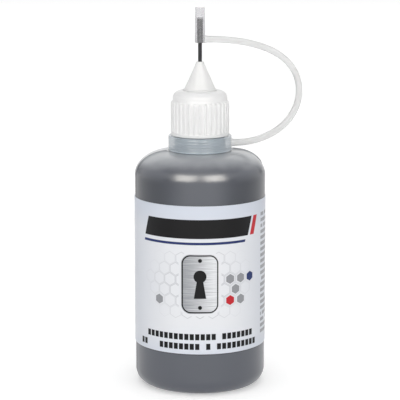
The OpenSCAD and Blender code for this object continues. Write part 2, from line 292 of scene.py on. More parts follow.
def rounded(*corners, closed=False, steps=5):
    """Outline through corners of (radius, height, rounding); the ends of an open one stay as they are."""
    outline = []
    last = len(corners) - 1
    for k, (radius, height, fillet) in enumerate(corners):
        here = Vector((radius, height))
        if fillet <= 0 or (not closed and k in (0, last)):
            outline.append((radius, height))
            continue
        back = (Vector(corners[k - 1][:2]) - here).normalized()
        ahead = (Vector(corners[(k + 1) % len(corners)][:2]) - here).normalized()
        half = back.angle(ahead) / 2
        centre = here + (back + ahead).normalized() * (fillet / math.sin(half))
        first = here + back * (fillet / math.tan(half)) - centre
        final = here + ahead * (fillet / math.tan(half)) - centre
        begin = math.atan2(first.y, first.x)
        sweep = math.remainder(math.atan2(final.y, final.x) - begin, 2 * math.pi)
        for step in range(steps + 1):
            turn = begin + sweep * step / steps
            outline.append((centre.x + fillet * math.cos(turn), centre.y + fillet * math.sin(turn)))
    return outline


def strung(parts):
    """The points of named runs as one outline, and the name of each point's run."""
    outline = [point for points in parts.values() for point in points]
    names = [name for name, points in parts.items() for _ in points]
    return outline, names


def even_columns(count):
    """Directions round the axis, evenly spaced from the front."""
    return [FRONT + 2 * math.pi * k / count for k in range(count)]


def smooth_mesh(name, points, faces):
    """A new object with that mesh, shaded smooth with its sharp edges kept."""
    mesh = bpy.data.meshes.new(name)
    mesh.from_pydata(points, [], faces)
    mesh.update()
    mesh.shade_smooth()
    mesh.set_sharp_from_angle(angle=CRISP_EDGE)
    piece = bpy.data.objects.new(name, mesh)
    bpy.context.scene.collection.objects.link(piece)
    # Small roundings keep the long faces beside them straight
    piece.modifiers.new("even_shading", "WEIGHTED_NORMAL").keep_sharp = True
    return piece


def wrapped(name, rings, closed=False):
    """A mesh round rings of points, which joins its last ring to its first or else fills its ends.

    A ring of a single point is a pole.
    """
    points = [point for ring in rings for point in ring]
    numbers = iter(range(len(points)))
    rings = [[next(numbers) for _ in ring] for ring in rings]
    faces = []
    for ring, after in zip(rings, rings[1:] + rings[:1] if closed else rings[1:]):
        count = max(len(ring), len(after))
        for j in range(count):
            k = (j + 1) % count
            corners = (ring[j % len(ring)], ring[k % len(ring)], after[k % len(after)], after[j % len(after)])
            faces.append(tuple(dict.fromkeys(corners)))
    if not closed:
        faces += [end for end in (rings[0][::-1], rings[-1]) if len(end) > 1]
    return smooth_mesh(name, points, faces)


def turned(name, outline, columns, relief=None):
    """An outline of (radius, height) turned about the axis, up the outside and down the inside.

    One that starts and ends on the axis closes there, and any other closes on itself.
    relief(index, direction) says how far a point stands out from the outline.
    """
    rings = []
    for i, (radius, height) in enumerate(outline):
        if radius < ON_AXIS:
            rings.append([(0, 0, height)])
            continue
        before = Vector(outline[i - 1])
        after = Vector(outline[(i + 1) % len(outline)])
        out = Vector((after.y - before.y, before.x - after.x)).normalized()
        ring = []
        for direction in columns:
            proud = relief(i, direction) if relief else 0
            reach = radius + out.x * proud
            ring.append((reach * math.cos(direction), reach * math.sin(direction), height + out.y * proud))
        rings.append(ring)
    return wrapped(name, rings, closed=outline[0][0] >= ON_AXIS)


def settle(piece, node, body, material):
    """Gives a piece its finish, and puts it in place of a solid on its body."""
    piece.data.materials.append(material)
    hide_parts(node)
    if body:
        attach(piece, body)


def math_node(operation):
    """A method that puts a wire, and what it is joined with, into a math node."""

    def method(self, *others):
        return self.nodes.math(operation, self, *others)

    return method


class Wire:
    """A node's output, which takes part in plain arithmetic."""

    def __init__(self, nodes, socket):
        self.nodes = nodes
        self.socket = socket

    def __rsub__(self, other):
        return self.nodes.math("SUBTRACT", other, self)

    __add__ = math_node("ADD")
    __sub__ = math_node("SUBTRACT")
    __mul__ = math_node("MULTIPLY")
    __truediv__ = math_node("DIVIDE")
    __mod__ = math_node("FLOORED_MODULO")
    __abs__ = math_node("ABSOLUTE")
    __lt__ = math_node("LESS_THAN")
    __gt__ = math_node("GREATER_THAN")
    # The smaller and the larger of two numbers
    __and__ = math_node("MINIMUM")
    __or__ = math_node("MAXIMUM")
    floor = math_node("FLOOR")
    root = math_node("SQRT")


class Nodes:
    """A node tree with short calls for the nodes that the finishes use."""

    def __init__(self, tree):
        self.tree = tree

    def feed(self, socket, value):
        """Links a wire to a socket, or sets a plain value on it."""
        if isinstance(value, Wire):
            self.tree.links.new(value.socket, socket)
        else:
            socket.default_value = value

    def wire(self, kind, inputs=None, output=0, **settings):
        """The output of a new node whose inputs, by name or number, are set or fed."""
        node = self.tree.nodes.new(kind)
        for key, value in settings.items():
            setattr(node, key, value)
        for key, value in (inputs or {}).items():
            self.feed(node.inputs[key], value)
        return Wire(self, node.outputs[output])

    def math(self, operation, *values, clamp=False):
        """The result of a math node."""
        return self.wire("ShaderNodeMath", dict(enumerate(values)), operation=operation, use_clamp=clamp)

    def place(self, output="Object"):
        """Coordinates in the piece's own space."""
        return self.wire("ShaderNodeTexCoord", output=output)

    def axes(self, vector):
        """The three numbers of a vector."""
        node = self.wire("ShaderNodeSeparateXYZ", {0: vector}).socket.node
        return [Wire(self, socket) for socket in node.outputs]

    def join(self, x, y, z=0.0):
        """A vector of three numbers."""
        return self.wire("ShaderNodeCombineXYZ", {0: x, 1: y, 2: z})

    def stretch(self, vector, scale):
        """A vector with each axis scaled."""
        return self.wire("ShaderNodeVectorMath", {0: vector, 1: scale}, operation="MULTIPLY")

    def noise(self, vector, size, detail=3.0, rough=0.5):
        """Soft noise with features of that size in metres, from 0 to 1."""
        inputs = {"Vector": vector, "Scale": 1 / size, "Detail": detail, "Roughness": rough}
        return self.wire("ShaderNodeTexNoise", inputs, "Fac")

    def chance(self, vector):
        """A random number from 0 to 1 for each place."""
        return self.wire("ShaderNodeTexWhiteNoise", {"Vector": vector}, "Value", noise_dimensions="3D")

    def ease(self, value, start, end, low=0.0, high=1.0):
        """A number that goes softly from low to high as value goes from start to end."""
        inputs = {0: value, 1: start, 2: end, 3: low, 4: high}
        return self.wire("ShaderNodeMapRange", inputs, interpolation_type="SMOOTHSTEP")

    def spread(self, noise, low=0.0, high=1.0):
        """A number that goes from low to high over the usual range of a soft noise."""
        return self.ease(noise, 0.3, 0.7, low, high)

    def mix(self, factor, first, second):
        """A colour between two others."""
        first, second = (colour if isinstance(colour, Wire) else (*colour, 1) for colour in (first, second))
        return self.wire("ShaderNodeMix", {0: factor, 6: first, 7: second}, 2, data_type="RGBA")

    def bump(self, height, strength, depth):
        """A surface that height raises by that depth in metres."""
        inputs = {"Strength": strength, "Distance": depth, "Height": height}
        return self.wire("ShaderNodeBump", inputs, "Normal")


class Finish(Nodes):
    """A material of one shader and the nodes that feed it."""

    def __init__(self, name, swatch):
        self.material = bpy.data.materials.new(name)
        self.material.use_nodes = True
        self.material.diffuse_color = (*swatch, 1)
        super().__init__(self.material.node_tree)
        self.shader = self.tree.nodes["Principled BSDF"]

    def set(self, **inputs):
        """Sets or feeds the shader's inputs, named with _ for each space."""
        for key, value in inputs.items():
            self.feed(self.shader.inputs[key.replace("_", " ")], value)


def shade(colour, factor):
    """A colour made darker or lighter."""
    return tuple(min(1.0, part * factor) for part in colour)


def moulded_plastic(
    name, colour, rough, gloss=0.5, clear=0.0, veil=1.0, glow=0.0, relief=0.02 * MM, painted_light_edges=()
):
    """Satin moulded plastic with a faint skin, clouded colour, uneven gloss and a painted highlight along the
    listed edges.
    """
    finish = Finish(name, colour)
    place = finish.place()
    cloud = finish.noise(place, 9 * MM)
    skin = finish.noise(place, 0.35 * MM, 2.0)
    tint = finish.mix(finish.spread(cloud), shade(colour, 0.965), shade(colour, 1.02))
    # Painted highlight: a paler band round each listed edge height
    for edge in painted_light_edges:
        near = finish.ease(abs(finish.axes(place)[2] - edge), 0.2 * MM, 0.55 * MM, 0.8, 0.0)
        tint = finish.mix(near, tint, shade(colour, 1.6))
    finish.set(
        Base_Color=tint,
        Roughness=finish.spread(skin * 0.6 + cloud * 0.4, rough * 0.86, rough * 1.14),
        Specular_IOR_Level=gloss,
        Alpha=veil,
        Transmission_Weight=clear,
        Subsurface_Weight=glow,
        Subsurface_Scale=0.6 * MM,
        Subsurface_Radius=(1.0, 1.0, 1.0),
        Normal=finish.bump(skin, 0.25, relief),
    )
    return finish.material


def bottle_finish(settings, land_top):
    """Milky plastic that the powder behind it darkens, and that is paler above the powder, with painted shade
    on the flanks and painted dark lines under the label and along the parting line.
    """
    finish = Finish("milky_bottle_finish", settings.dusted)
    place = finish.place()
    x, y, height = finish.axes(place)
    cloud = finish.noise(place, 10 * MM)
    skin = finish.noise(place, 0.5 * MM, 2.0)
    flank_shade = finish.ease(abs(x) + (cloud - 0.5) * (4 * MM), 2 * MM, 13 * MM)
    # Painted shade: the sides of the band between the label and the shoulder are darker
    shade_band = finish.ease(height, 40 * MM, 52 * MM) * finish.ease(height, 58 * MM, 62 * MM, 1.0, 0.0)
    dust_and_shade = finish.mix(flank_shade * shade_band, settings.dusted, settings.flank_shade_tone)
    parting = abs(x * math.sin(settings.seam_turn) - y * math.cos(settings.seam_turn))
    # Painted light: the pale colour above the powder reaches lower towards the sides
    ragged = height + (cloud - 0.5) * (2 * MM) + flank_shade * (1.0 * MM)
    colour = finish.mix(finish.ease(ragged, land_top - 3.2 * MM, land_top), dust_and_shade, settings.bare)
    # Painted shadow: a thin dark line on the bottle just under the label's lower edge
    under = finish.ease(abs(height - LABEL_LOW.z + 0.1 * MM), 0.05 * MM, 0.35 * MM, 0.7, 0.0)
    # Painted shade: a dark line along the mould's parting line
    lines = under | finish.ease(parting, 0.05 * MM, settings.seam_width, 0.6, 0.0)
    finish.set(
        Base_Color=finish.mix(lines, colour, shade(settings.dusted, 0.3)),
        Roughness=finish.spread(cloud, 0.29, 0.34),
        Coat_Weight=0.25,
        Coat_Roughness=0.19,
        Normal=finish.bump(skin, 0.2, 0.012 * MM),
    )
    return finish.material


def graphite_finish(settings):
    """Dull grey powder with brighter flakes."""
    finish = Finish("graphite_powder_finish", settings.dark)
    place = finish.place()
    grain = finish.noise(place, 0.5 * MM, 4.0, 0.7)
    cling = finish.noise(place, 6 * MM, 3.0)
    finish.set(
        Base_Color=finish.mix(
            finish.ease(grain * 0.5 + cling * 0.5, 0.38, 0.62), settings.dark, settings.light
        ),
        Roughness=finish.spread(grain, 0.75, 0.5),
        Metallic=0.1,
        Normal=finish.bump(grain, 0.5, 0.1 * MM),
    )
    return finish.material


def steel_finish(settings):
    """Drawn steel tube with fine lines along it."""
    finish = Finish("drawn_steel_finish", settings.steel)
    place = finish.place()
    lines = finish.noise(finish.stretch(place, (9.0, 9.0, 0.4)), 0.6 * MM, 3.0, 0.6)
    finish.set(
        Base_Color=finish.mix(
            finish.spread(lines), shade(settings.steel, 0.8), shade(settings.steel, 1.25)
        ),
        Roughness=finish.spread(lines, 0.3, 0.42),
        Metallic=1.0,
        Normal=finish.bump(lines, 0.2, 0.01 * MM),
    )
    return finish.material


class Print:
    """Inks laid over the label's film, in millimetres across and up from the middle of its lower edge."""

    # Width of the soft edge of the ink
    EDGE = 0.07

    def __init__(self, finish, film, radius, low):
        self.finish = finish
        self.film = film
        x, y, z = finish.axes(finish.place())
        around = finish.math("ARCTAN2", x, y * -1.0)
        self.across = around * (radius / MM)
        self.up = (z - low) / MM

    def ink(self, distance):
        """Full inside a shape and none outside, from the distance to its edge."""
        return self.finish.math("MULTIPLY_ADD", distance, -1 / self.EDGE, 0.5, clamp=True)

    def lay(self, cover, colour):
        """Prints a colour over the film, as far as cover goes from 0 to 1."""
        self.film = self.finish.mix(cover, self.film, colour)

    def bar(self, box, slant=0.0):
        """A bar of (left, right, bottom, top) whose ends lean by slant for each millimetre up."""
        left, right, bottom, top = box
        across = self.across
        if slant:
            across = across - (self.up - bottom) * slant
        sides = abs(across - (left + right) / 2) - (right - left) / 2
        ends = abs(self.up - (bottom + top) / 2) - (top - bottom) / 2
        return self.ink(sides | ends)

    def plate(self, across, up, width, height, corner):
        """Distance to the edge of an upright rectangle with rounded corners."""
        x = (abs(self.across - across) - (width / 2 - corner)) | 0.0
        y = (abs(self.up - up) - (height / 2 - corner)) | 0.0
        return (x * x + y * y).root() - corner

    def disc(self, across, up, radius):
        """Distance to the edge of a disc."""
        x = self.across - across
        y = self.up - up
        return (x * x + y * y).root() - radius

    def rows(self, box, size, seed):
        """Rows of small blocks in a box, as lines of type look from afar."""
        left, right, bottom, _ = box
        row = ((self.up - bottom) / size.pitch).floor()
        within = abs((self.up - bottom) % size.pitch - size.pitch / 2) - size.height / 2
        block = abs(self.across % size.cell - size.cell / 2) - size.cell * 0.39
        pick = self.finish.chance(self.finish.join((self.across / size.cell).floor(), row, seed))
        short = self.finish.chance(self.finish.join(row, seed, 7.0)) * ((right - left) * size.ragged)
        shown = (pick < size.fill) & (self.across < short * -1.0 + right)
        return self.ink(within | block) & self.bar(box) & shown

    def cells(self, pitch):
        """Distance to the edge of the nearest six-sided cell, a random number for it, and its middle."""
        tall = pitch * math.sqrt(3)
        choices = []
        for shift in (0.0, 0.5):
            x = (self.across - shift * pitch) % pitch - pitch / 2
            y = (self.up - shift * tall) % tall - tall / 2
            choices.append((x, y, x * x + y * y))
        (x0, y0, far0), (x1, y1, far1) = choices
        first = far0 < far1
        x = x0 * first + x1 * (1.0 - first)
        y = y0 * first + y1 * (1.0 - first)
        edge = (abs(x) | (abs(x) * 0.5 + abs(y) * (math.sqrt(3) / 2))) - pitch / 2
        across, up = self.across - x, self.up - y
        middle = self.finish.join((across + 0.01).floor(), (up + 0.01).floor(), 3.0)
        return edge, self.finish.chance(middle), across, up


def label_finish(settings, radius, low):
    """Printed paper film: plain bars, a cell pattern, a keyhole plate and rows of small print."""
    finish = Finish("printed_label_finish", settings.film)
    film, black, red = settings.film, settings.black, settings.red
    navy, grey = settings.navy, settings.grey
    page = Print(finish, film, radius, low)
    fibre = finish.noise(finish.place(), 0.25 * MM, 3.0)
    # Height of the middle of the picture
    middle = 19.5

    # Darker, bluer film towards the top and bottom, and painted shade towards the sides
    tint = finish.ease(abs(page.up - 18.5), 9.0, 21.5) | finish.ease(abs(page.across), 6.0, 24.0, 0.0, 0.55)
    page.lay(tint, settings.pale)

    # Pattern of cells that fades outwards, with a few that are filled
    edge, pick, across, up = page.cells(3.4)
    near = finish.ease(abs(across) + abs(up - middle) * 0.9, 6.0, 21.0, 1.0, 0.0)
    band = (abs(across) < 21.0) & (abs(up - middle) < 8.6)
    page.lay(page.ink(abs(edge + 0.14) - 0.09) * near * band, grey)
    full = page.ink(edge + 0.5) * band * (abs(across) > 7.6)
    for picked, colour in ((0.45, shade(grey, 0.55)), (0.16, navy), (0.07, red)):
        page.lay(full * (pick < near * picked), colour)

    # Brushed plate with a keyhole and two screws
    plate = page.plate(0.0, middle, 10.4, 16.4, 2.6)
    brushed = finish.noise(finish.join(page.across * 0.15, page.up * 6.0), 1.0, 3.0)
    sheen = finish.ease(brushed + page.across * 0.05, 0.2, 0.9)
    page.lay(page.ink(plate - 0.7), film)
    page.lay(page.ink(plate), finish.mix(sheen, settings.dull_metal, settings.bright_metal))
    page.lay(page.ink(abs(plate + 0.35) - 0.18), black)
    slot = (abs(page.across) - ((page.up - 21.0) * -0.17 + 0.75)) | (abs(page.up - 18.4) - 2.9)
    page.lay(page.ink(slot) | page.ink(page.disc(0.0, 21.6, 1.75)), black)
    for screw in (-6.5, 6.5):
        page.lay(page.ink(page.disc(0.0, middle + screw, 0.55)), black)

    # Slanted bars at the head, large print at the foot and small print at the sides
    slant = 0.3
    page.lay(page.bar((-17.5, 14.5, 32.0, 37.2), slant), black)
    page.lay(page.bar((15.3, 17.0, 32.0, 37.2), slant), red)
    page.lay(page.bar((-17.8, 13.4, 30.3, 31.0), slant), navy)
    page.lay(page.rows((-16.5, 16.5, 3.6, 6.0), LARGE_PRINT, 1.0), black)
    page.lay(page.rows((-19.5, 19.5, 0.9, 3.3), LARGE_PRINT, 2.0), black)
    page.lay(page.rows((21.0, 48.0, 3.0, 37.65), SMALL_PRINT, 3.0), shade(grey, 0.45))
    page.lay(page.bar((-49.0, -27.0, 33.6, 36.6)), navy)
    page.lay(page.rows((-49.0, -27.0, 4.0, 32.0), FINE_PRINT, 4.0), shade(grey, 0.5))

    finish.set(
        Base_Color=page.film,
        Roughness=finish.spread(fibre, 0.3, 0.42),
        Specular_IOR_Level=0.15,
        Normal=finish.bump(fibre, 0.15, 0.01 * MM),
    )
    return finish.material


def floor_finish(settings):
    """Pale backdrop paper."""
    finish = Finish("backdrop_paper_finish", settings.floor_tone)
    cloud = finish.noise(finish.place(), 0.3)
    faint = shade(settings.floor_tone, 0.995)
    finish.set(
        Base_Color=finish.mix(finish.ease(cloud, 0.35, 0.65), faint, settings.floor_tone),
        Roughness=0.9,
        Specular_IOR_Level=0.1,
        Emission_Color=(1, 1, 1, 1),
        Emission_Strength=settings.floor_glow,
    )
    return finish.material


def ridge(settings, direction, height, start, turns, depth):
    """How far a screw thread stands out of its wall at that direction and height."""
    best = 0.0
    first = (direction % (2 * math.pi)) / (2 * math.pi)
    for whole in range(math.ceil(turns) + 1):
        turn = first + whole
        if turn > turns:
            break
        away = abs(height - start - settings.pitch * turn)
        rise = max(0.1, min(1.0, turn / settings.runout, (turns - turn) / settings.runout))
        slope = (settings.root / 2 - away) / ((settings.root - settings.crest) / 2)
        stand = min(1.0, slope) * (depth + settings.sink) * rise - settings.sink
        best = max(best, stand)
    return best


class POWDER_BOTTLE_OT_stage(Operator):
    """Makes the camera, the pale floor and the soft studio light"""

    bl_idname = "powder_bottle.stage"
    bl_label = "Stage"

    def execute(self, context):
        studio = context.scene.powder_bottle.studio
        scene = context.scene
        scene.view_settings.view_transform = "Standard"

        camera = bpy.data.objects.new("camera", bpy.data.cameras.new("camera"))
        camera.data.lens = studio.lens
        camera.data.sensor_width = SENSOR_WIDTH
        camera.data.clip_start = 10 * MM
        camera.location = (0, -studio.distance, studio.height)
        camera.rotation_euler = (math.pi / 2 - studio.dip, 0, 0)
        scene.collection.objects.link(camera)
        scene.camera = camera

        half = studio.floor_size / 2
        under = -0.02 * MM
        corners = [(-half, -half, under), (half, -half, under), (half, half, under), (-half, half, under)]
        floor = smooth_mesh("floor", corners, [(0, 1, 2, 3)])
        floor.data.materials.append(floor_finish(studio))

        world = bpy.data.worlds.new("studio")
        world.use_nodes = True
        sky = Nodes(world.node_tree)
        height = sky.axes(sky.place("Generated"))[2]
        steep = height * height * height * height
        glow = world.node_tree.nodes["Background"].inputs
        glow["Color"].default_value = (1, 1, 1, 1)
        strength = steep * (studio.overhead - studio.horizon) + studio.horizon
        # The picture shows a white backdrop, and the bottle mirrors the darker sides of the studio
        seen = sky.wire("ShaderNodeLightPath", output="Is Camera Ray")
        sky.feed(glow["Strength"], strength | seen)
        scene.world = world

        def panel(name, turn, rise, distance, width, height, power):
            data = bpy.data.lights.new(name, "AREA")
            data.shape = "RECTANGLE"
            data.size, data.size_y = width, height
            data.energy = power
            light = bpy.data.objects.new(name, data)
            flat = math.cos(rise)
            way = Vector((flat * math.cos(FRONT + turn), flat * math.sin(FRONT + turn), math.sin(rise)))
            light.location = Vector((0, 0, STRAP_LOW.z)) + way * distance
            light.rotation_euler = way.to_track_quat("Z", "Y").to_euler()
            light.visible_camera = False
            scene.collection.objects.link(light)
            return light

        # The fill light has no reflection, and the other panels only make the gloss
        fill = panel(
            "fill", 0.0, studio.fill_rise, studio.fill_distance,
            studio.fill_size, studio.fill_size, studio.fill_power,
        )
        fill.visible_glossy = False
        for side in (-1, 1):
            softbox = panel(
                "softbox", side * studio.gloss_turn, studio.gloss_rise, studio.gloss_distance,
                studio.gloss_width, studio.gloss_height, studio.gloss_power,
            )
            softbox.data.color = studio.gloss_tone
            softbox.visible_diffuse = False
        for place in (-1, 0, 1):
            card = panel(
                "card", math.pi + place * studio.card_turn, studio.card_rise, studio.card_distance,
                studio.card_width, studio.card_height, studio.card_power,
            )
            card.visible_diffuse = False
        return {"FINISHED"}


class POWDER_BOTTLE_OT_bottle(Operator):
    """Makes the milky bottle with its neck, thread, parting line and recessed base"""

    bl_idname = "powder_bottle.bottle"
    bl_label = "Bottle"

    def execute(self, context):
        bottle = context.scene.powder_bottle.bottle
        thread = context.scene.powder_bottle.thread
        body = BOTTLE_HIGH.x
        mouth = BOTTLE_HIGH.z
        land_top = RING_LOW.z - bottle.ring_play
        collar_top = RING_HIGH.z
        wall, recess, curve = bottle.wall, bottle.recess, bottle.base_round
        foot = body - curve
        dish = foot - bottle.standing
        shoulder_low = land_top - bottle.shoulder
        # Rows that carry the thread, and the plain neck below and above them
        neck_rows, margin = 62, 0.35 * MM
        # Heights of the label's edges, and a step beyond each
        label_rows = (LABEL_LOW.z - 0.5 * MM, LABEL_LOW.z, LABEL_HIGH.z, LABEL_HIGH.z + 0.5 * MM)

        parts = {
            "dish": line((0, recess), (dish - recess, recess), 6)[:-1],
            "stand": rounded(
                (dish * 5 / 6, recess, 0),
                (dish - recess, recess, 0.4 * MM),
                (dish, 0, 0.35 * MM),
                (foot, 0, 0),
            )[1:-1],
            "wall": arc((foot, curve), (curve, curve), -90, 0, 12)
            + [(body, height) for height in label_rows]
            + arc((bottle.land, shoulder_low), (body - bottle.land, bottle.shoulder), 0, 90, 24),
            "collar": rounded(
                (bottle.land, land_top, 0),
                (bottle.collar, land_top, 0.2 * MM),
                (bottle.collar, collar_top, 0.15 * MM),
                (bottle.neck, collar_top, 0.2 * MM),
                (bottle.neck, mouth, 0),
            )[1:-1],
            "neck": line((bottle.neck, collar_top + margin), (bottle.neck, mouth - margin), neck_rows),
            "mouth": rounded(
                (bottle.neck, collar_top, 0),
                (bottle.neck, mouth, 0.25 * MM),
                (bottle.bore, mouth, 0.25 * MM),
                (bottle.bore, land_top - wall, 0.5 * MM),
                (bottle.land, land_top - wall, 0),
            )[1:-1],
            "inside": arc(
                (bottle.land, shoulder_low),
                (body - bottle.land - wall, bottle.shoulder - wall), 90, 0, 14,
            )
            + arc((foot, curve), (curve - wall, curve - wall), 0, -90, 8)
            + [(dish, wall), (dish - recess, recess + wall), (0, recess + wall)],
        }
        outline, kinds = strung(parts)
        seam = math.pi + bottle.seam_turn
        # Columns close together on both sides of the parting line
        seam_steps = [math.radians(step) for step in (0, 0.4, 0.9, 1.5, 2.2, 3.2)]
        columns = even_columns(168)
        for turn in (seam, seam + math.pi):
            columns += [turn + side * step for step in seam_steps for side in (-1, 1)]
        columns = sorted({round(direction % (2 * math.pi), 5) for direction in columns})
        start = CAP_LOW.z + thread.lead
        depth = bottle.collar - bottle.neck
        # Parting line: height of its foot above the floor, its own height under the label, how far that
        # reaches past the label, its size under the base, and lengths over which it rises and ends on top
        seam_foot, pressed, past_label = 0.2 * MM, 0.015 * MM, 0.1 * MM
        base_seam, seam_rise, seam_end = 0.3 * MM, 3 * MM, 0.5 * MM

        def relief(index, direction):
            radius, height = outline[index]
            kind = kinds[index]
            across = radius * math.sin(direction - seam)
            if kind == "neck":
                return ridge(thread, direction, height, start, thread.neck_turns, depth)
            if kind == "dish":
                return base_seam * math.exp(-((across / base_seam) ** 2))
            if kind == "wall" and height > seam_foot:
                covered = LABEL_LOW.z - past_label < height < LABEL_HIGH.z + past_label
                high = pressed if covered else bottle.seam_height
                if height > shoulder_low:
                    grow = min(1.0, (height - shoulder_low) / seam_rise, (radius - bottle.land) / seam_end)
                    high += (bottle.seam_crest - high) * grow
                return high * math.exp(-((across / bottle.seam_width) ** 2))
            return 0

        piece = turned("bottle_body", outline, columns, relief)
        settle(piece, "bottle", "bottle", bottle_finish(bottle, land_top))
        return {"FINISHED"}


class POWDER_BOTTLE_OT_label(Operator):
    """Makes the printed label with rounded corners"""

    bl_idname = "powder_bottle.label"
    bl_label = "Label"

    def execute(self, context):
        label = context.scene.powder_bottle.label
        radius = LABEL_HIGH.x
        low, high = LABEL_LOW.z, LABEL_HIGH.z
        wide = label.wrap * radius
        # Columns close together at the rounded corners, and even between them
        corner_steps = 8
        inset = [label.corner * (1 - math.cos(math.pi / 2 * k / corner_steps)) for k in range(corner_steps)]
        plain = 160
        stops = list(inset)
        stops += [label.corner + (wide - 2 * label.corner) * k / plain for k in range(plain + 1)]
        stops += [wide - stop for stop in reversed(inset)]
        rows = 8
        # The texture's height at the foot of the printed face and of the back, and how much each takes
        printed, plain_back = (0.0, 0.93), (0.95, 0.04)

        rings = []
        spots = []
        for stop in stops:
            into = label.corner - min(stop, wide - stop, label.corner)
            cut = label.corner - math.sqrt(max(0, label.corner ** 2 - into ** 2))
            turn = FRONT - label.wrap / 2 + stop / radius
            heights = [low + cut + (high - low - 2 * cut) * row / rows for row in range(rows + 1)]
            ring = []
            # Down the printed face and up the back
            for reach, climb, (foot, part) in (
                (radius, heights[::-1], printed), (radius - label.thickness, heights, plain_back)
            ):
                for height in climb:
                    ring.append((reach * math.cos(turn), reach * math.sin(turn), height))
                    spots.append((stop / wide, foot + part * (height - low) / (high - low)))
            rings.append(ring)
        piece = wrapped("label_wrap", rings)
        texture = piece.data.uv_layers.new(name="OFBake")
        for loop in piece.data.loops:
            texture.data[loop.index].uv = spots[loop.vertex_index]
        settle(piece, "label", "bottle", label_finish(label, radius, low))
        return {"FINISHED"}


class POWDER_BOTTLE_OT_powder(Operator):
    """Makes the graphite powder inside the bottle"""

    bl_idname = "powder_bottle.powder"
    bl_label = "Powder"

    def execute(self, context):
        powder = context.scene.powder_bottle.powder
        bottle = context.scene.powder_bottle.bottle
        radius = POWDER_HIGH.x
        top = POWDER_HIGH.z
        level = top - powder.heap
        low = POWDER_LOW.z
        curve = bottle.base_round - (BOTTLE_HIGH.x - radius)
        rings = 14
        outline = [(0, low + bottle.recess)]
        dish = BOTTLE_HIGH.x - bottle.base_round - bottle.standing
        outline += [(dish - bottle.recess, low + bottle.recess), (dish, low)]
        outline += arc((radius - curve, low + curve), (curve, curve), -90, 0, 8)
        outline += [(radius, level - 8 * MM), (radius, level - 0.3 * MM)]
        crown = len(outline)
        # Waves of the uneven surface: steepness along each axis, for each millimetre, and phase
        waves = ((0.9, 0.4, 0.0), (-0.7, 1.3, 1.0), (2.1, 1.7, 2.0))
        for k in range(1, rings + 1):
            reach = radius * (1 - k / rings)
            outline.append((reach, level + powder.heap * (1 - reach / radius) - powder.ripple))

        def relief(index, direction):
            if index < crown:
                return 0
            reach = outline[index][0] / MM
            x, y = reach * math.cos(direction), reach * math.sin(direction)
            swell = sum(math.sin(along * x + aside * y + phase) for along, aside, phase in waves)
            return powder.ripple * swell / len(waves)

        piece = turned("graphite_fill", outline, even_columns(120), relief)
        settle(piece, "graphite_powder", "bottle", graphite_finish(powder))
        return {"FINISHED"}


class POWDER_BOTTLE_OT_nozzle(Operator):
    """Makes the white cone nozzle with its foot, flange and plug"""

    bl_idname = "powder_bottle.nozzle"
    bl_label = "Nozzle"

    def execute(self, context):
        nozzle = context.scene.powder_bottle.nozzle
        seat = BOTTLE_HIGH.z
        hole = NEEDLE_HIGH.x + 0.02 * MM
        foot_top = CAP_HIGH.z + nozzle.foot_rise
        tip = NOZZLE_HIGH.z
        outline = rounded(
            (nozzle.plug_bore, NOZZLE_LOW.z, 0.2 * MM),
            (nozzle.plug, NOZZLE_LOW.z, 0.35 * MM),
            (nozzle.plug, seat, 0.15 * MM),
            (NOZZLE_HIGH.x, seat, 0.15 * MM),
            (NOZZLE_HIGH.x, seat + nozzle.flange_height, 0.15 * MM),
            (nozzle.foot, seat + nozzle.flange_height, 0.15 * MM),
            (nozzle.foot, foot_top, 0.05 * MM),
            (nozzle.cone, foot_top, 0.3 * MM),
            (nozzle.tip, tip, 0.16 * MM),
            (hole, tip, 0.05 * MM),
            (hole, NEEDLE_LOW.z, 0),
            (nozzle.plug_bore, seat, 0.3 * MM),
            closed=True,
        )
        piece = turned("nozzle_cone", outline, even_columns(112))
        white = moulded_plastic("white_nozzle_finish", nozzle.tone, 0.4, gloss=0.22, glow=0.2)
        settle(piece, "nozzle", "nozzle", white)
        return {"FINISHED"}


class POWDER_BOTTLE_OT_needle(Operator):
    """Makes the steel needle"""

    bl_idname = "powder_bottle.needle"
    bl_label = "Needle"

    def execute(self, context):
        nozzle = context.scene.powder_bottle.nozzle
        outer = NEEDLE_HIGH.x
        inner = outer - nozzle.needle_wall
        edge = 0.06 * MM
        outline = rounded(
            (inner, NEEDLE_LOW.z, edge),
            (outer, NEEDLE_LOW.z, edge),
            (outer, NEEDLE_HIGH.z, edge),
            (inner, NEEDLE_HIGH.z, edge),
            closed=True,
            steps=3,
        )
        piece = turned("needle_tube", outline, even_columns(48))
        settle(piece, "needle", "nozzle", steel_finish(nozzle))
        return {"FINISHED"}


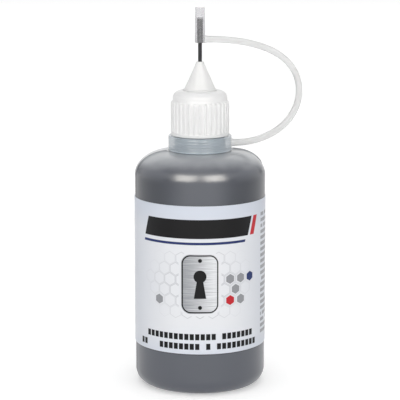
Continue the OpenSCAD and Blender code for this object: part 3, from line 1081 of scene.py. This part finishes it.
class POWDER_BOTTLE_OT_cap(Operator):
    """Makes the ribbed screw cap with the thread inside"""

    bl_idname = "powder_bottle.cap"
    bl_label = "Screw cap"

    def execute(self, context):
        cap = context.scene.powder_bottle.cap
        thread = context.scene.powder_bottle.thread
        bottle = context.scene.powder_bottle.bottle
        low, top = CAP_LOW.z, CAP_HIGH.z
        crest = CAP_HIGH.y
        rib_top = top - cap.top_height
        slope_top = rib_top + cap.slope
        band_top = low + cap.band_height
        seat = top - cap.roof
        shelf = seat - cap.land_height
        bore_top = shelf - (cap.bore - cap.land)
        bore_end = low + 0.3 * MM
        slope_rows, bore_rows = 14, 48
        # How far the ribs' ends lie inside the band and the top, and the gap round the neck's thread
        sink, thread_play = 0.3 * MM, 0.35 * MM

        parts = {
            "band": rounded(
                (cap.bore, low, 0),
                (cap.band, low, 0.18 * MM),
                (cap.band, band_top, 0.12 * MM),
                (cap.wall, band_top, 0.1 * MM),
                (cap.wall, rib_top, 0),
            )[1:-1],
            "ribs": line((cap.wall, band_top), (cap.wall, rib_top), 6)[1:-1]
            + line((cap.wall, rib_top), (cap.top, slope_top), slope_rows),
            "roof": arc((cap.top - cap.edge, top - cap.edge), (cap.edge, cap.edge), 0, 90, 12)
            + rounded(
                (cap.top - cap.edge, top, 0),
                (cap.hole, top, 0.1 * MM),
                (cap.hole, seat, 0.1 * MM),
                (cap.land, seat, 0.2 * MM),
                (cap.land, shelf, 0.15 * MM),
                (cap.bore, bore_top, 0.15 * MM),
                (cap.bore, low, 0),
            )[1:-1],
            "bore": line((cap.bore, bore_top), (cap.bore, bore_end), bore_rows)[1:],
            "lip": [(cap.bore + 0.12 * MM, low)],
        }
        outline, kinds = strung(parts)
        columns_per_rib = 12
        start = low + thread.lead + thread.pitch / 2
        depth = cap.bore - bottle.neck - thread_play
        rib_middle = crest - cap.rib_round
        # Slope of the cone that cuts the ribs' upper ends off
        fall = (crest + cap.slope - cap.top + sink) / (2 * cap.slope)

        def relief(index, direction):
            radius, height = outline[index]
            kind = kinds[index]
            if kind == "bore":
                return ridge(thread, direction, height, start, thread.cap_turns, depth)
            if kind in ("band", "ribs") and height > band_top - sink:
                step = 2 * math.pi / cap.ribs
                across = radius * math.sin(math.remainder(direction - FRONT, step))
                if abs(across) >= cap.rib_round:
                    return 0
                reach = rib_middle + math.sqrt(cap.rib_round ** 2 - across ** 2)
                limit = crest + cap.slope - (height - rib_top + cap.slope) * fall
                return max(0.0, min(reach, limit) - radius)
            return 0

        piece = turned("ribbed_cap", outline, even_columns(cap.ribs * columns_per_rib), relief)
        white = moulded_plastic("white_cap_finish", cap.tone, 0.4, gloss=0.22)
        settle(piece, "screw_cap", "screw_cap", white)
        return {"FINISHED"}


class POWDER_BOTTLE_OT_ring(Operator):
    """Makes the clear tether ring round the neck"""

    bl_idname = "powder_bottle.ring"
    bl_label = "Tether ring"

    def execute(self, context):
        tether = context.scene.powder_bottle.tether
        low, high, outer = RING_LOW.z, RING_HIGH.z, RING_HIGH.y
        rows = 42
        bevel = tether.ring_bevel
        bore, bore_edge = tether.ring_bore, 0.15 * MM
        lower = rounded((bore, low, 0), (outer, low, bevel), (outer, high, 0))[1:-2]
        side = line((outer, low + bevel), (outer, high - bevel), rows)
        upper = rounded((outer, low, 0), (outer, high, bevel), (bore, high, bore_edge), (bore, low, 0))[2:-1]
        inner = rounded((bore, high, 0), (bore, low, bore_edge), (outer, low, 0))[1:-1]
        outline = lower + side + upper + inner
        first, last = len(lower), len(lower) + rows

        def relief(index, direction):
            if not first + 2 <= index <= last - 2:
                return 0
            wave = math.cos(2 * math.pi * (outline[index][1] - low) / tether.groove_pitch)
            return -tether.groove_depth * (0.5 + 0.5 * wave)

        piece = turned("neck_ring", outline, even_columns(128), relief)
        # Painted highlight: a paler band along the ring's lower edge
        frosted = moulded_plastic(
            "frosted_ring_finish", tether.ring_tone, 0.22, veil=0.55, relief=0.008 * MM, painted_light_edges=(low,)
        )
        settle(piece, "tether_ring", "tether", frosted)
        return {"FINISHED"}


def cubic(points, share_along):
    """Place and heading on a cubic curve with four control points."""
    t, s = share_along, 1 - share_along
    a, b, c, d = (Vector(point) for point in points)
    place = a * s ** 3 + b * (3 * s * s * t) + c * (3 * s * t * t) + d * t ** 3
    heading = (b - a) * (s * s) + (c - b) * (2 * s * t) + (d - c) * (t * t)
    return place, heading.normalized()


class POWDER_BOTTLE_OT_strap(Operator):
    """Makes the strap that holds the needle cover to the ring"""

    bl_idname = "powder_bottle.strap"
    bl_label = "Tether strap"

    def execute(self, context):
        tether = context.scene.powder_bottle.tether
        thick, wide = tether.strap_thick, STRAP_HIGH.y - STRAP_LOW.y
        start = Vector((STRAP_LOW.x, STRAP_HIGH.z - thick / 2))
        end = Vector((RING_HIGH.y + tether.root, STRAP_LOW.z + thick / 2))
        turn = Vector((STRAP_HIGH.x - thick / 2, (start.y + end.y) / 2))
        steps = 40
        upper = (start, start + Vector((tether.top_run, 0)), turn + Vector((0, tether.top_drop)), turn)
        lower = (turn, turn - Vector((0, tether.low_drop)), end + Vector((tether.low_run, 0)), end)

        # Stations along the strap, from inside the cover's wall to inside the ring's
        out, back = Vector((1, 0)), Vector((-1, 0))
        stations = [(Vector((COVER_HIGH.y + step, start.y)), out) for step in (-0.15 * MM, 0.3 * MM)]
        stations += [cubic(upper, k / steps) for k in range(steps + 1)]
        stations += [cubic(lower, k / steps) for k in range(1, steps + 1)]
        stations += [(Vector((RING_HIGH.y + step, end.y)), back) for step in (0.3 * MM, -0.1 * MM)]
        section = rounded(
            (-thick / 2, -wide / 2, tether.strap_round),
            (-thick / 2, wide / 2, tether.strap_round),
            (thick / 2, wide / 2, tether.strap_round),
            (thick / 2, -wide / 2, tether.strap_round),
            closed=True,
        )
        run = [0.0]
        for (here, _), (after, _) in zip(stations, stations[1:]):
            run.append(run[-1] + (after - here).length)
        flare_length = 1.6 * MM

        rings = []
        for (place, heading), along in zip(stations, run):
            nearest = min(along, run[-1] - along)
            grow = 1 + tether.strap_flare * max(0.0, 1 - nearest / flare_length) ** 2
            ring = []
            for level, side in section:
                reach = heading * (level * grow)
                ring.append((place.x - reach.y, side * grow, place.y + reach.x))
            rings.append(ring)
        piece = wrapped("cover_strap", rings)
        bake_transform(piece)
        frosted = moulded_plastic("frosted_strap_finish", tether.strap_tone, 0.4, gloss=0.12, glow=0.3)
        settle(piece, "tether_strap", None, frosted)
        return {"FINISHED"}


class POWDER_BOTTLE_OT_cover(Operator):
    """Makes the clear cover on the needle's tip"""

    bl_idname = "powder_bottle.cover"
    bl_label = "Needle cover"

    def execute(self, context):
        tether = context.scene.powder_bottle.tether
        # The bore grips the needle, so the needle shows wide through the round cover
        bore = NEEDLE_HIGH.x - 0.01 * MM
        outer = COVER_HIGH.y
        low, high = COVER_LOW.z, COVER_HIGH.z
        bore_top = high - tether.cover_end
        outline = rounded(
            (0, bore_top, 0),
            (bore, bore_top, 0.04 * MM),
            (bore, low, 0.12 * MM),
            (outer, low, 0.12 * MM),
            (outer - tether.cover_taper, high, tether.cover_edge),
            (0, high, 0),
        )
        piece = turned("needle_sleeve", outline, even_columns(64))
        clear = moulded_plastic("clear_cover_finish", tether.cover_tone, 0.19, clear=0.77)
        settle(piece, "needle_cover", "needle_cover", clear)
        return {"FINISHED"}


# The operators in the order in which they run
STEPS = (
    POWDER_BOTTLE_OT_stage, POWDER_BOTTLE_OT_bottle, POWDER_BOTTLE_OT_label, POWDER_BOTTLE_OT_powder,
    POWDER_BOTTLE_OT_nozzle, POWDER_BOTTLE_OT_needle, POWDER_BOTTLE_OT_cap, POWDER_BOTTLE_OT_ring,
    POWDER_BOTTLE_OT_strap, POWDER_BOTTLE_OT_cover,
)


class POWDER_BOTTLE_PT_panel(Panel):
    """Lists the pieces and their settings"""

    bl_idname = "POWDER_BOTTLE_PT_panel"
    bl_label = "Powder Bottle"
    bl_space_type = "VIEW_3D"
    bl_region_type = "UI"
    bl_category = "Powder Bottle"

    def draw(self, context):
        for step in STEPS:
            self.layout.operator(step.bl_idname)
        for group in PowderBottle.__annotations__:
            settings = getattr(context.scene.powder_bottle, group)
            box = self.layout.box()
            box.label(text=group.capitalize())
            for key in settings.__annotations__:
                box.prop(settings, key)


CLASSES = (
    StudioSettings, BottleSettings, ThreadSettings, LabelSettings, PowderSettings,
    CapSettings, NozzleSettings, TetherSettings, PowderBottle,
    *STEPS, POWDER_BOTTLE_PT_panel,
)


def register():
    for cls in CLASSES:
        bpy.utils.register_class(cls)
    bpy.types.Scene.powder_bottle = PointerProperty(type=PowderBottle)


def unregister():
    del bpy.types.Scene.powder_bottle
    for cls in reversed(CLASSES):
        bpy.utils.unregister_class(cls)


def main():
    register()
    for step in STEPS:
        name = step.bl_idname.removeprefix("powder_bottle.")
        getattr(bpy.ops.powder_bottle, name)()


if __name__ == "__main__":
    main()
